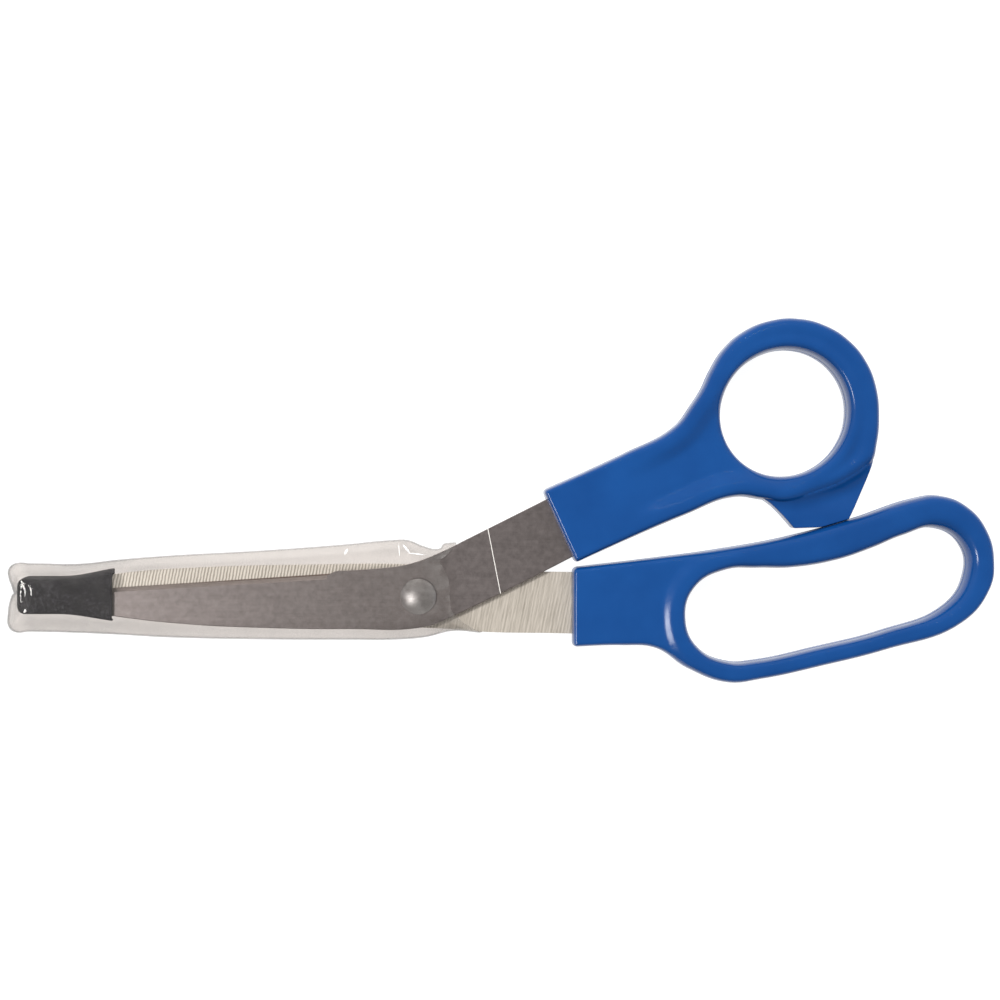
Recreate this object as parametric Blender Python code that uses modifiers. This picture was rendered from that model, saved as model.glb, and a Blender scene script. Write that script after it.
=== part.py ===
"""Bent-handled shears with a tip guard and a clear sleeve, lying flat.

Two steel blades turn on one domed rivet. Each blade ends in a tang that is moulded into its
plastic handle. A rubber guard covers both tips, and a soft clear sleeve covers the guard and
the blades. The blades point to -X, the handles to +X, and the outer face of the front blade
looks up (+Z). Outlines are in millimetres, measured from the rivet's axis.
"""

import math

import bmesh
import bpy
from mathutils import Matrix, Vector

MM = 0.001

# Where the rivet's axis stands, so that the whole object is centred on the origin.
PIVOT_X = -20.28
PIVOT_Y = -23.93

# Heights above the surface that the shears lie on.
MID_Z = 5.4
BLADE_THICKNESS = 2.0
HANDLE_THICKNESS = 10.8
GAP = 0.3
WELD_DISTANCE = 0.02

BACK_BLADE_TOP = MID_Z - GAP / 2
BACK_BLADE_BOTTOM = BACK_BLADE_TOP - BLADE_THICKNESS
FRONT_BLADE_BOTTOM = MID_Z + GAP / 2
FRONT_BLADE_TOP = FRONT_BLADE_BOTTOM + BLADE_THICKNESS

# Ground faces along the cutting edges.
EDGE_LAND = 0.35
GROUND_FACE_ANGLE = math.radians(52)

# Rivet and washer.
SHANK_RADIUS = 2.5
SHANK_CLEARANCE = 0.15
HEAD_RADIUS = 4.5
HEAD_HEIGHT = 2.0
TAIL_RADIUS = 3.3
TAIL_HEIGHT = 0.8
WASHER_RADIUS = 4.4
WASHER_THICKNESS = 0.8
ROUND_STEPS = 40

# Handles.
HANDLE_ROUNDING = 2.0
THUMB_HOLE_CENTRE = (91.1, 45.7)
THUMB_HOLE_RADIUS = 16.0
THUMB_RING_CENTRE = (92.9, 47.45)
THUMB_RING_RADIUS = 22.15

# Covers.
GUARD_HALF_HEIGHT = 4.2
SLEEVE_WALL = 0.4
GUARD_POCKET_CLEARANCE = 0.35

CORNER = "corner"

# Cutting edge, from the tip to the heel, then the heel and the bent tang's upper edge.
FRONT_BLADE_UPPER_SIDE = [
    (-96.6, -0.4), (-96.0, 0.3), (-76.8, 1.95), (-47.0, 3.74), (-22.8, 5.2, CORNER), (-20.6, 6.3, CORNER),
    (-11.0, 6.85), (-2.6, 8.0), (5.6, 11.0), (12.8, 14.6, CORNER),
]
# The back of the front blade, from the tang down to the tip.
FRONT_BLADE_LOWER_SIDE = [
    (9.0, -4.75), (2.3, -7.45), (-17.8, -8.15), (-39.6, -7.83), (-57.0, -7.0), (-76.8, -4.8),
    (-86.0, -3.1), (-96.0, -1.1),
]
# The part of a tang that the handle hides: a shoulder, then a narrower tongue. It starts at
# the tang's upper corner, at the handle's mouth.
FRONT_TANG_CORNER = (33.4, 24.9)
FRONT_TANG_ANGLE = math.radians(26.6)
FRONT_TANG_WIDTH = 15.6
BACK_TANG_CORNER = (37.0, 5.95)
BACK_TANG_WIDTH = 15.4
TANG_SHOULDER = 3.0
TONGUE_WIDTH = 9.0
TONGUE_LENGTH = 26.0

BACK_BLADE_UPPER_SIDE = [
    (-96.6, 0.9), (-96.0, 1.7), (-86.0, 3.6), (-75.3, 5.6), (-54.5, 7.15), (-27.0, 7.83), (-3.3, 7.9),
    (12.0, 6.8), (31.5, 6.05, CORNER),
]
BACK_BLADE_LOWER_SIDE = [
    (32.7, -9.3, CORNER), (15.5, -8.95), (8.5, -8.3), (-2.0, -7.8), (-12.0, -7.0), (-20.6, -6.5, CORNER),
    (-22.8, -5.4, CORNER), (-47.0, -3.75), (-76.8, -1.05), (-96.0, 0.2),
]

FINGER_HANDLE_OUTLINE = [
    (38.4, 7.2, CORNER), (58.4, 9.6), (73.7, 11.65), (93.1, 15.2), (108.4, 19.45), (123.7, 24.5), (129.5, 25.2),
    (136.5, 22.8), (142.0, 16.1), (143.6, 8.5), (142.1, 1.6), (135.0, -6.7), (116.1, -13.4), (100.7, -17.8),
    (85.5, -21.05), (77.0, -21.6), (67.5, -17.8), (59.2, -12.9), (50.7, -12.2), (38.4, -12.6, CORNER),
]
FINGER_LOOP_HOLE = [
    (66.6, -5.4), (68.7, 2.3), (76.7, 6.9), (92.9, 7.1), (104.6, 9.2), (119.9, 15.1), (128.7, 17.0),
    (135.2, 12.2), (135.6, 4.6), (131.4, -2.3), (116.1, -7.7), (93.1, -14.2), (78.5, -16.9), (69.6, -13.2),
]
# The thumb handle from its mouth along the underside to the stop lug, and back from the ring.
THUMB_HANDLE_LOWER_SIDE = [
    (31.2, 26.0, CORNER), (34.6, 18.2), (38.9, 8.7, CORNER), (53.8, 15.2), (66.0, 20.5), (79.0, 25.2),
    (86.0, 24.0), (93.6, 17.0, CORNER), (100.2, 17.3, CORNER), (107.2, 19.4, CORNER), (111.4, 29.3),
    (114.2, 39.0),
]
THUMB_HANDLE_UPPER_SIDE = [(68.5, 48.1), (64.0, 42.2), (51.5, 35.8)]


def clear_scene():
    for old in list(bpy.data.objects):
        bpy.data.objects.remove(old, do_unlink=True)


def new_collection(name):
    collection = bpy.data.collections.new(name)
    bpy.context.scene.collection.children.link(collection)
    return collection


def linear(channel):
    """One sRGB channel, 0 to 255, as the linear value that a shader takes."""
    value = channel / 255
    if value <= 0.04045:
        return value / 12.92
    return ((value + 0.055) / 1.055) ** 2.4


def material(name, srgb, roughness, metallic=0.0, alpha=1.0):
    made = bpy.data.materials.new(name)
    made.use_nodes = True
    shader = made.node_tree.nodes["Principled BSDF"]
    colour = [linear(channel) for channel in srgb]
    shader.inputs["Base Color"].default_value = (*colour, 1.0)
    shader.inputs["Roughness"].default_value = roughness
    shader.inputs["Metallic"].default_value = metallic
    shader.inputs["Alpha"].default_value = alpha
    made.diffuse_color = (*colour, alpha)
    return made


def empty(name, location, parent=None):
    made = bpy.data.objects.new(name, None)
    made.location = Vector(location) * MM
    made.parent = parent
    PARTS.objects.link(made)
    return made


def place(part, parent, finish):
    """Hang a part and its cutters on its body's empty, and give it its material."""
    part.parent = parent
    for modifier in part.modifiers:
        if modifier.type == "BOOLEAN":
            modifier.object.parent = parent
    part.data.materials.clear()
    part.data.materials.append(finish)


def mesh_object(name, mesh, collection):
    made = bpy.data.objects.new(name, mesh)
    collection.objects.link(made)
    return made


def as_cutter(cutter):
    PARTS.objects.unlink(cutter)
    CUTTERS.objects.link(cutter)
    cutter.hide_render = True
    cutter.display_type = "WIRE"
    return cutter


def cut(part, cutter):
    difference = part.modifiers.new("cut_" + cutter.name, "BOOLEAN")
    difference.operation = "DIFFERENCE"
    difference.object = cutter


def add_spline(curve, outline):
    """A closed Bezier spline: smooth through plain points, straight at the corners."""
    spline = curve.splines.new("BEZIER")
    spline.bezier_points.add(len(outline) - 1)
    spline.use_cyclic_u = True
    for knot, point in zip(spline.bezier_points, outline):
        knot.co = (point[0] * MM, point[1] * MM, 0)
        handle_type = "VECTOR" if len(point) > 2 else "AUTO"
        knot.handle_left_type = handle_type
        knot.handle_right_type = handle_type


def plate(name, outlines, z_low, z_high, rounding=0.0, grow=0.0, steps=3):
    """A flat outline, with any holes, filled from z_low to z_high, as a welded mesh."""
    curve = bpy.data.curves.new(name + "_outline", "CURVE")
    curve.dimensions = "2D"
    curve.fill_mode = "BOTH"
    curve.resolution_u = steps
    curve.extrude = ((z_high - z_low) / 2 - rounding) * MM
    curve.bevel_depth = rounding * MM
    curve.bevel_resolution = 1
    curve.offset = (grow - rounding) * MM
    for outline in outlines:
        add_spline(curve, outline)
    drawn = bpy.data.objects.new(name + "_outline", curve)
    drawn.location.z = (z_low + z_high) / 2 * MM
    PARTS.objects.link(drawn)
    bpy.context.view_layer.update()
    mesh = bpy.data.meshes.new_from_object(drawn.evaluated_get(bpy.context.evaluated_depsgraph_get()))
    weld = bmesh.new()
    weld.from_mesh(mesh)
    bmesh.ops.remove_doubles(weld, verts=weld.verts, dist=WELD_DISTANCE * MM)
    bmesh.ops.recalc_face_normals(weld, faces=weld.faces)
    weld.to_mesh(mesh)
    weld.free()
    mesh.name = name
    made = mesh_object(name, mesh, PARTS)
    made.matrix_world = drawn.matrix_world.copy()
    bpy.data.objects.remove(drawn, do_unlink=True)
    return made


def turned(name, profile):
    """A profile of (radius, z), read top to bottom, turned about the rivet's axis."""
    mesh = bpy.data.meshes.new(name)
    points = [(radius * MM, 0, z * MM) for radius, z in profile]
    mesh.from_pydata(points, [(i, i + 1) for i in range(len(points) - 1)], [])
    made = mesh_object(name, mesh, PARTS)
    screw = made.modifiers.new("turn", "SCREW")
    screw.steps = ROUND_STEPS
    screw.render_steps = ROUND_STEPS
    screw.use_merge_vertices = True
    screw.merge_threshold = 0.00001
    return made


def loft(name, rings, open_end=False):
    """A skin over equal rings of points, closed at the first ring and, unless open, the last."""
    skin = bmesh.new()
    rows = [[skin.verts.new(Vector(point) * MM) for point in ring] for ring in rings]
    count = len(rings[0])
    for first, second in zip(rows, rows[1:]):
        for i in range(count):
            j = (i + 1) % count
            skin.faces.new((first[i], first[j], second[j], second[i]))
    skin.faces.new(list(reversed(rows[0])))
    if not open_end:
        skin.faces.new(rows[-1])
    bmesh.ops.recalc_face_normals(skin, faces=skin.faces)
    mesh = bpy.data.meshes.new(name)
    skin.to_mesh(mesh)
    skin.free()
    return mesh_object(name, mesh, PARTS)


def oval_ring(x, y_low, y_high, half_height, squareness, lean=0.0, count=20):
    """A superellipse across X, from round (squareness 2) towards a rectangle."""
    y_mid = (y_low + y_high) / 2
    y_half = (y_high - y_low) / 2
    ring = []
    for i in range(count):
        turn = 2 * math.pi * (i + 0.5) / count
        side = math.copysign(abs(math.cos(turn)) ** (2 / squareness), math.cos(turn))
        rise = math.copysign(abs(math.sin(turn)) ** (2 / squareness), math.sin(turn))
        ring.append((x + lean * y_half * side, y_mid + y_half * side, MID_Z + half_height * rise))
    return ring


def box_ring(x, y_low, y_high, half_height):
    low = MID_Z - half_height
    high = MID_Z + half_height
    return [(x, y_high, high), (x, y_low, high), (x, y_low, low), (x, y_high, low)]


def ground_face_cutter(name, edge_start, edge_end, edge_z, side):
    """A box whose inner face is the ground face of a straight cutting edge.

    side is +1 above the front blade and -1 below the back blade.
    """
    start = Vector((*edge_start, edge_z)) * MM
    end = Vector((*edge_end, edge_z)) * MM
    run = end - start
    width = 10 * MM
    height = 4 * MM
    frame = (
        Matrix.Translation((start + end) / 2)
        @ Matrix.Rotation(math.atan2(run.y, run.x), 4, "Z")
        @ Matrix.Rotation(-GROUND_FACE_ANGLE, 4, "X")
        @ Matrix.Translation((0, 0, side * height / 2))
        @ Matrix.Diagonal((run.length, width, height, 1))
    )
    box = bmesh.new()
    bmesh.ops.create_cube(box, size=1, matrix=frame)
    mesh = bpy.data.meshes.new(name)
    box.to_mesh(mesh)
    box.free()
    return as_cutter(mesh_object(name, mesh, PARTS))


def tongue(origin, angle, width):
    """The hidden end of a tang, clockwise from its upper shoulder."""
    across = (width - TONGUE_WIDTH) / 2
    local = [
        (TANG_SHOULDER, 0), (TANG_SHOULDER, -across), (TONGUE_LENGTH, -across - 1),
        (TONGUE_LENGTH, 1 + across - width), (TANG_SHOULDER, across - width), (TANG_SHOULDER, -width),
    ]
    turn = Matrix.Rotation(angle, 2)
    points = [turn @ Vector(point) + Vector(origin) for point in local]
    return [(point.x, point.y, CORNER) for point in points]


def front_blade_outline():
    hidden = tongue(FRONT_TANG_CORNER, FRONT_TANG_ANGLE, FRONT_TANG_WIDTH)
    return FRONT_BLADE_UPPER_SIDE + hidden + FRONT_BLADE_LOWER_SIDE


def back_blade_outline():
    hidden = tongue(BACK_TANG_CORNER, 0.0, BACK_TANG_WIDTH)
    return BACK_BLADE_UPPER_SIDE + hidden + BACK_BLADE_LOWER_SIDE


def ring_arc(start_angle, end_angle, count):
    """Points round the outside of the thumb ring, from one angle to the other."""
    points = []
    for i in range(count):
        angle = math.radians(start_angle + (end_angle - start_angle) * i / (count - 1))
        points.append((
            THUMB_RING_CENTRE[0] + THUMB_RING_RADIUS * math.cos(angle),
            THUMB_RING_CENTRE[1] + THUMB_RING_RADIUS * math.sin(angle),
        ))
    return points


def circle(centre, radius, count=8):
    turns = [2 * math.pi * i / count for i in range(count)]
    return [(centre[0] + radius * math.cos(turn), centre[1] + radius * math.sin(turn)) for turn in turns]


def rivet_hole(name, z_low, z_high):
    hole = plate(name, [circle((0, 0), SHANK_RADIUS + SHANK_CLEARANCE)], z_low - 1, z_high + 1, steps=5)
    return as_cutter(hole)


def front_blade(body, finish):
    blade = plate("front_blade", [front_blade_outline()], FRONT_BLADE_BOTTOM, FRONT_BLADE_TOP)
    edge_z = FRONT_BLADE_BOTTOM + EDGE_LAND
    cut(blade, ground_face_cutter("front_ground_face", (-99, 0.15), (-22.8, 5.2), edge_z, 1))
    cut(blade, rivet_hole("front_rivet_hole", FRONT_BLADE_BOTTOM, FRONT_BLADE_TOP))
    place(blade, body, finish)


def back_blade(body, finish):
    blade = plate("back_blade", [back_blade_outline()], BACK_BLADE_BOTTOM, BACK_BLADE_TOP)
    edge_z = BACK_BLADE_TOP - EDGE_LAND
    cut(blade, ground_face_cutter("back_ground_face", (-99, 0.6), (-22.8, -5.4), edge_z, -1))
    cut(blade, rivet_hole("back_rivet_hole", BACK_BLADE_BOTTOM, BACK_BLADE_TOP))
    place(blade, body, finish)


def pivot_rivet(body, finish):
    """Domed head over the front blade, plain shank, flattened tail behind the washer."""
    seat = FRONT_BLADE_TOP + GAP
    tail_top = BACK_BLADE_BOTTOM - GAP - WASHER_THICKNESS - GAP
    tail_bottom = tail_top - TAIL_HEIGHT
    dome = []
    for i in range(7):
        angle = math.radians(90 - 15 * i)
        dome.append((HEAD_RADIUS * math.cos(angle), seat + 0.3 + (HEAD_HEIGHT - 0.3) * math.sin(angle)))
    dome[0] = (0.0, seat + HEAD_HEIGHT)
    profile = dome + [
        (HEAD_RADIUS, seat), (SHANK_RADIUS, seat), (SHANK_RADIUS, tail_top), (TAIL_RADIUS, tail_top),
        (TAIL_RADIUS, tail_bottom + 0.3), (TAIL_RADIUS - 0.6, tail_bottom), (0.0, tail_bottom),
    ]
    place(turned("pivot_rivet", profile), body, finish)


def rivet_washer(body, finish):
    top = BACK_BLADE_BOTTOM - GAP
    bottom = top - WASHER_THICKNESS
    outline = circle((0, 0), WASHER_RADIUS)
    hole = circle((0, 0), SHANK_RADIUS + GAP)
    washer = plate("rivet_washer", [outline, hole], bottom, top, steps=5)
    place(washer, body, finish)


def tang_socket(name, outline, z_low, z_high):
    return as_cutter(plate(name, [outline], z_low - GAP, z_high + GAP, grow=GAP))


def thumb_handle(body, finish):
    outline = THUMB_HANDLE_LOWER_SIDE + ring_arc(-12, 166, 9) + THUMB_HANDLE_UPPER_SIDE
    hole = circle(THUMB_HOLE_CENTRE, THUMB_HOLE_RADIUS, 12)
    handle = plate("thumb_handle", [outline, hole], 0, HANDLE_THICKNESS, HANDLE_ROUNDING)
    cut(handle, tang_socket("thumb_socket", front_blade_outline(), FRONT_BLADE_BOTTOM, FRONT_BLADE_TOP))
    place(handle, body, finish)


def finger_handle(body, finish):
    outlines = [FINGER_HANDLE_OUTLINE, FINGER_LOOP_HOLE]
    handle = plate("finger_handle", outlines, 0, HANDLE_THICKNESS, HANDLE_ROUNDING)
    cut(handle, tang_socket("finger_socket", back_blade_outline(), BACK_BLADE_BOTTOM, BACK_BLADE_TOP))
    place(handle, body, finish)


def tip_guard(body, finish):
    """A rounded box over the tips that flares at its mouth, hollowed for the two blades."""
    outside = [
        oval_ring(-100.05, -2.9, 3.4, GUARD_HALF_HEIGHT - 1.3, 6),
        oval_ring(-99.4, -4.0, 4.5, GUARD_HALF_HEIGHT - 0.4, 6),
        oval_ring(-98.3, -4.4, 4.95, GUARD_HALF_HEIGHT, 6),
        oval_ring(-87.0, -4.4, 4.95, GUARD_HALF_HEIGHT, 6),
        oval_ring(-76.4, -6.1, 6.9, GUARD_HALF_HEIGHT, 6),
    ]
    blades_half_height = BLADE_THICKNESS + GAP / 2
    pocket_half_height = blades_half_height + GUARD_POCKET_CLEARANCE
    pocket = [
        box_ring(-97.2, -1.6, 2.3, pocket_half_height),
        box_ring(-86.0, -3.5, 4.0, pocket_half_height),
        box_ring(-75.0, -5.5, 6.1, pocket_half_height),
    ]
    guard = loft("tip_guard", outside)
    cut(guard, as_cutter(loft("guard_pocket", pocket)))
    place(guard, body, finish)


def blade_sleeve(body, finish):
    """A flattened clear tube: pinched shut past the tips, open on a slant past the rivet."""
    stations = [
        oval_ring(-103.05, -7.2, 6.2, 0.7, 3),
        oval_ring(-102.3, -8.3, 7.4, 2.8, 3),
        oval_ring(-100.9, -8.9, 8.0, 5.2, 3),
        oval_ring(-84.8, -9.2, 8.1, 5.3, 3),
        oval_ring(-75.5, -9.6, 9.1, 5.3, 3),
        oval_ring(-63.0, -10.3, 10.1, 4.6, 3),
        oval_ring(-39.5, -10.8, 11.4, 4.4, 3),
        oval_ring(-17.8, -10.8, 13.0, 4.9, 3),
        oval_ring(-4.5, -10.5, 13.7, 5.35, 3),
        oval_ring(3.5, -9.9, 12.6, 5.35, 3.5, lean=-0.25),
        oval_ring(10.9, -9.8, 13.4, 5.35, 4, lean=-0.46),
    ]
    sleeve = loft("blade_sleeve", stations, open_end=True)
    wall = sleeve.modifiers.new("wall", "SOLIDIFY")
    wall.thickness = SLEEVE_WALL * MM
    wall.offset = -1
    place(sleeve, body, finish)


clear_scene()
PARTS = new_collection("bent_shears")
CUTTERS = new_collection("cutters")

finger_side = empty("finger_side_pivot", (PIVOT_X, PIVOT_Y, 0))
thumb_side = empty("thumb_side_pivot", (0, 0, 0), finger_side)
guard_side = empty("guard_slide", (0, 0, 0), finger_side)
sleeve_side = empty("sleeve_slide", (0, 0, 0), guard_side)

BLUE = material("blue_plastic", (31, 84, 152), 0.25)
FRONT_STEEL = material("satin_steel", (127, 118, 116), 0.35, metallic=0.9)
BACK_STEEL = material("ground_steel", (198, 190, 180), 0.3, metallic=0.9)
RIVET_STEEL = material("rivet_steel", (170, 164, 160), 0.2, metallic=1.0)
RUBBER = material("black_rubber", (58, 56, 59), 0.6)
CLEAR_VINYL = material("clear_vinyl", (222, 216, 210), 0.15, alpha=0.3)

back_blade(finger_side, BACK_STEEL)
finger_handle(finger_side, BLUE)
pivot_rivet(finger_side, RIVET_STEEL)
rivet_washer(finger_side, RIVET_STEEL)
front_blade(thumb_side, FRONT_STEEL)
thumb_handle(thumb_side, BLUE)
tip_guard(guard_side, RUBBER)
blade_sleeve(sleeve_side, CLEAR_VINYL)
bpy.context.view_layer.update()
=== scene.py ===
"""Looks of the bent-handled shears: two steel blades on a domed rivet, two blue moulded handles,
a black rubber guard over the tips and a clear soft sleeve over the guard and the blades.

Outlines are in millimetres from the rivet's axis, heights in millimetres above the floor.
The blades point to -X and the handles to +X; the camera looks straight down.
"""

import math

import bmesh
import bpy
import numpy as np
from mathutils import Matrix, Vector
from mathutils.geometry import delaunay_2d_cdt


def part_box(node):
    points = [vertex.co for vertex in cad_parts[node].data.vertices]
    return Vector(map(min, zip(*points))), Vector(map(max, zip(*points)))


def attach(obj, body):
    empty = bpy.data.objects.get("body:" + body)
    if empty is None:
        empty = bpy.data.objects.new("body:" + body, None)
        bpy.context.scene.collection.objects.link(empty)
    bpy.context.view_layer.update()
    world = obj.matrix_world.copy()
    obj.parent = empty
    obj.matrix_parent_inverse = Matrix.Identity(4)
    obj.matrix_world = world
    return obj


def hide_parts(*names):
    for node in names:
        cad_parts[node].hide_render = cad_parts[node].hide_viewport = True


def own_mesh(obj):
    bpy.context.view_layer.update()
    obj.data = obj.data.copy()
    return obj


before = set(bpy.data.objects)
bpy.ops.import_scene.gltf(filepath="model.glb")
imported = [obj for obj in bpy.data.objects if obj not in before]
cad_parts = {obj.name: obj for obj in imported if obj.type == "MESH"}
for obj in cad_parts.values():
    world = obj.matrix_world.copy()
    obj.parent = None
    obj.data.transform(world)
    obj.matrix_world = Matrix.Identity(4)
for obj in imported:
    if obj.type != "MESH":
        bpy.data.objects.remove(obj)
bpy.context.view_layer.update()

MM = 0.001

RIVET_LOW, RIVET_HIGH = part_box("pivot_rivet")
PIVOT = (RIVET_LOW + RIVET_HIGH) / 2
MID_Z = 5.4
BLADE_THICKNESS = 2.0
HALF_BLADE = BLADE_THICKNESS / 2
GAP = 0.3
BACK_BLADE_MID = MID_Z - GAP / 2 - HALF_BLADE
FRONT_BLADE_MID = MID_Z + GAP / 2 + HALF_BLADE
RIVET_HOLE_RADIUS = 2.65
SHANK_RADIUS = 2.5
HEAD_RADIUS = 4.4
HEAD_RISE = 1.7
WASHER_THICKNESS = 0.8
FILM_WALL = 0.22
PARTING_LINE = 0.05

# ---------------------------------------------------------------- outlines
# A third number rounds that corner to about that radius; other points are smooth.

FRONT_BLADE = [
    (-96.6, -0.4), (-96.0, 0.3), (-76.8, 1.95), (-47.0, 3.74), (-22.8, 5.2, 0.2), (-20.6, 6.3, 0.6),
    (-11.0, 6.85), (-2.6, 8.0), (5.6, 11.0), (12.8, 14.6, 1.0), (36.1, 26.3, 0.3), (37.6, 23.3, 0.3),
    (61.0, 33.6, 0.3), (64.2, 27.3, 0.3), (41.6, 15.3, 0.3), (43.1, 12.3, 0.3), (9.0, -4.75),
    (2.3, -7.45), (-17.8, -8.15), (-39.6, -7.83), (-57.0, -7.0), (-76.8, -4.8), (-86.0, -3.1),
    (-96.0, -1.1),
]
BACK_BLADE = [
    (-96.6, 0.9), (-96.0, 1.7), (-86.0, 3.6), (-75.3, 5.6), (-54.5, 7.15), (-27.0, 7.83), (-3.3, 7.9),
    (12.0, 6.8), (31.5, 6.05, 1.0), (40.0, 5.95, 0.3), (40.0, 2.75, 0.3), (63.0, 1.75, 0.3),
    (63.0, -5.25, 0.3), (40.0, -6.25, 0.3), (40.0, -9.45, 0.3), (32.7, -9.3, 1.0), (15.5, -8.95),
    (8.5, -8.3), (-2.0, -7.8), (-12.0, -7.0), (-20.6, -6.5, 0.6), (-22.8, -5.4, 0.2), (-47.0, -3.75),
    (-76.8, -1.05), (-96.0, 0.2),
]
FINGER_HANDLE = [
    (38.4, 7.2, 1.2), (58.4, 9.6), (73.7, 11.65), (93.1, 15.2), (108.4, 19.45), (123.7, 24.5),
    (129.5, 25.2), (136.4, 22.6), (141.8, 15.9), (143.3, 8.5), (142.0, 1.6), (135.1, -6.6),
    (116.1, -13.3), (100.7, -17.2), (85.5, -20.5), (77.0, -21.4), (67.3, -18.0), (59.2, -12.9),
    (50.7, -12.2), (38.4, -12.6, 1.2),
]
FINGER_LOOP = [
    (66.6, -5.4), (68.9, 2.3), (76.5, 6.6), (84.5, 7.1), (92.9, 7.2), (104.6, 9.2), (113.0, 12.1),
    (120.5, 15.2), (128.7, 17.1), (135.7, 12.4), (136.2, 4.6), (131.4, -2.3), (116.1, -8.5),
    (99.0, -12.8), (84.0, -16.0), (77.4, -16.3), (69.8, -12.8),
]
THUMB_RING_CENTRE = (92.65, 47.45)
THUMB_RING_RADIUS = 21.9
THUMB_HOLE_CENTRE = (91.1, 45.7)
THUMB_HOLE_RADIUS = 15.8
# Mouth, underside and the foot of the ring, then (after the ring) the upper side.
THUMB_LOWER_SIDE = [
    (30.9, 26.4, 1.2), (34.6, 18.2), (39.1, 8.3, 1.2), (53.8, 14.95), (66.0, 20.1), (79.0, 24.85),
    (85.5, 24.2), (91.5, 23.3), (100.7, 25.2), (107.5, 28.2), (112.5, 32.2), (114.2, 38.0),
    (114.8, 45.0),
]
THUMB_UPPER_SIDE = [(70.6, 51.9), (68.2, 48.1), (63.7, 42.3), (51.5, 35.8)]
STOP_LUG = [
    (84.5, 25.2, 0.3), (88.0, 22.9), (93.6, 17.0, 0.3), (100.2, 17.22, 1.0), (107.2, 19.3, 0.3),
    (110.9, 27.1), (112.15, 30.3), (113.05, 33.2), (113.5, 36.8, 0.3), (109.0, 37.0, 0.5),
    (101.5, 30.5), (90.0, 27.8, 0.5),
]
SLEEVE = [
    (-100.9, 0.75, 0.15), (-101.6, 2.2), (-102.5, 4.6), (-102.6, 6.6), (-101.2, 8.1),
    (-97.0, 8.2), (-84.8, 8.1), (-75.5, 9.1), (-63.0, 10.1), (-39.5, 11.4), (-17.8, 13.0),
    (-7.0, 14.0), (-2.6, 14.0), (1.0, 12.6), (4.4, 11.8), (5.5, 12.1), (6.1, 13.0), (7.5, 13.35),
    (9.6, 13.5), (20.0, 16.5, 1.0), (24.0, -9.9, 1.0), (15.7, -9.2), (8.6, -8.7), (2.0, -10.2),
    (-4.5, -10.8), (-17.8, -10.9), (-39.5, -10.8), (-63.0, -10.3), (-75.5, -9.6), (-84.8, -9.2),
    (-97.0, -8.9), (-101.2, -8.9), (-102.6, -7.4), (-102.7, -4.5), (-102.1, -0.9), (-101.5, 0.4),
]

# A bright line scribed across the front tang, and the line of the front blade's cutting edge, along
# which the back blade carries a painted shadow.
SCRIBED_LINE = [(17.35, 16.9), (20.45, 1.0)]
EDGE_LINE = [(-96.0, 0.35), (-22.8, 5.2)]

# Painted highlights along creases in the film above the blades, standing for the glint on the folds:
# start, end, half width.
CREASE_GLINTS = [
    ((-4.9, 13.3), (-4.5, 9.9), 0.09),
    ((-3.9, 13.0), (-1.9, 10.8), 0.22),
    ((-2.6, 10.9), (1.7, 10.4), 0.13),
    ((-17.6, 11.9), (-18.3, 10.4), 0.28),
]


def drawn(points, steps=10):
    """A closed outline as a run of places: smooth through plain points, rounded at the corners."""
    curve = bpy.data.curves.new("outline", "CURVE")
    curve.dimensions = "2D"
    curve.fill_mode = "NONE"
    curve.resolution_u = steps
    knots = []
    for i, point in enumerate(points):
        here = Vector(point[:2])
        if len(point) == 2:
            knots.append((here, None, None))
            continue
        back = (Vector(points[i - 1][:2]) - here).normalized()
        ahead = (Vector(points[(i + 1) % len(points)][:2]) - here).normalized()
        cut = point[2]
        knots.append((here + back * cut, here + back * cut * 3, here + back * cut * 0.4))
        knots.append((here + ahead * cut, here + ahead * cut * 0.4, here + ahead * cut * 3))
    spline = curve.splines.new("BEZIER")
    spline.bezier_points.add(len(knots) - 1)
    spline.use_cyclic_u = True
    for knot, (place, left, right) in zip(spline.bezier_points, knots):
        knot.co = (*place, 0)
        knot.handle_left_type = knot.handle_right_type = "FREE" if left else "AUTO"
        if left:
            knot.handle_left = (*left, 0)
            knot.handle_right = (*right, 0)
    holder = bpy.data.objects.new("outline", curve)
    bpy.context.collection.objects.link(holder)
    bpy.context.view_layer.update()
    mesh = bpy.data.meshes.new_from_object(holder.evaluated_get(bpy.context.evaluated_depsgraph_get()))
    places = np.array([vertex.co[:2] for vertex in mesh.vertices])
    bpy.data.objects.remove(holder, do_unlink=True)
    bpy.data.meshes.remove(mesh)
    kept = [places[0]]
    for place in places[1:]:
        if np.hypot(*(place - kept[-1])) > 0.1 and np.hypot(*(place - kept[0])) > 0.1:
            kept.append(place)
    return np.array(kept)


def circle(centre, radius, count=96, oval=0.0, lean=0.0):
    """A round loop, or an oval one: longer by twice oval along the angle lean."""
    turns = np.arange(count) * 2 * np.pi / count
    reach = radius + oval * np.cos(2 * (turns - lean))
    return np.array(centre) + np.column_stack((reach * np.cos(turns), reach * np.sin(turns)))


def inside_distance(places, loop):
    """How far each place lies inside a closed loop, in millimetres; negative outside it."""
    run = np.roll(loop, -1, 0) - loop
    length2 = (run ** 2).sum(1)
    result = np.empty(len(places))
    for first in range(0, len(places), 2000):
        block = places[first:first + 2000]
        away = block[:, None, :] - loop
        along = np.clip((away * run).sum(2) / length2, 0, 1)
        near = np.sqrt(((away - along[..., None] * run) ** 2).sum(2).min(1))
        x, y = block[:, :1], block[:, 1:]
        crosses = (loop[:, 1] > y) != (np.roll(loop[:, 1], -1) > y)
        with np.errstate(divide="ignore", invalid="ignore"):
            meets = loop[:, 0] + (y - loop[:, 1]) / run[:, 1] * run[:, 0] > x
        inside = (crosses & meets).sum(1) % 2 == 1
        result[first:first + 2000] = np.where(inside, near, -near)
    return result


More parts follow.
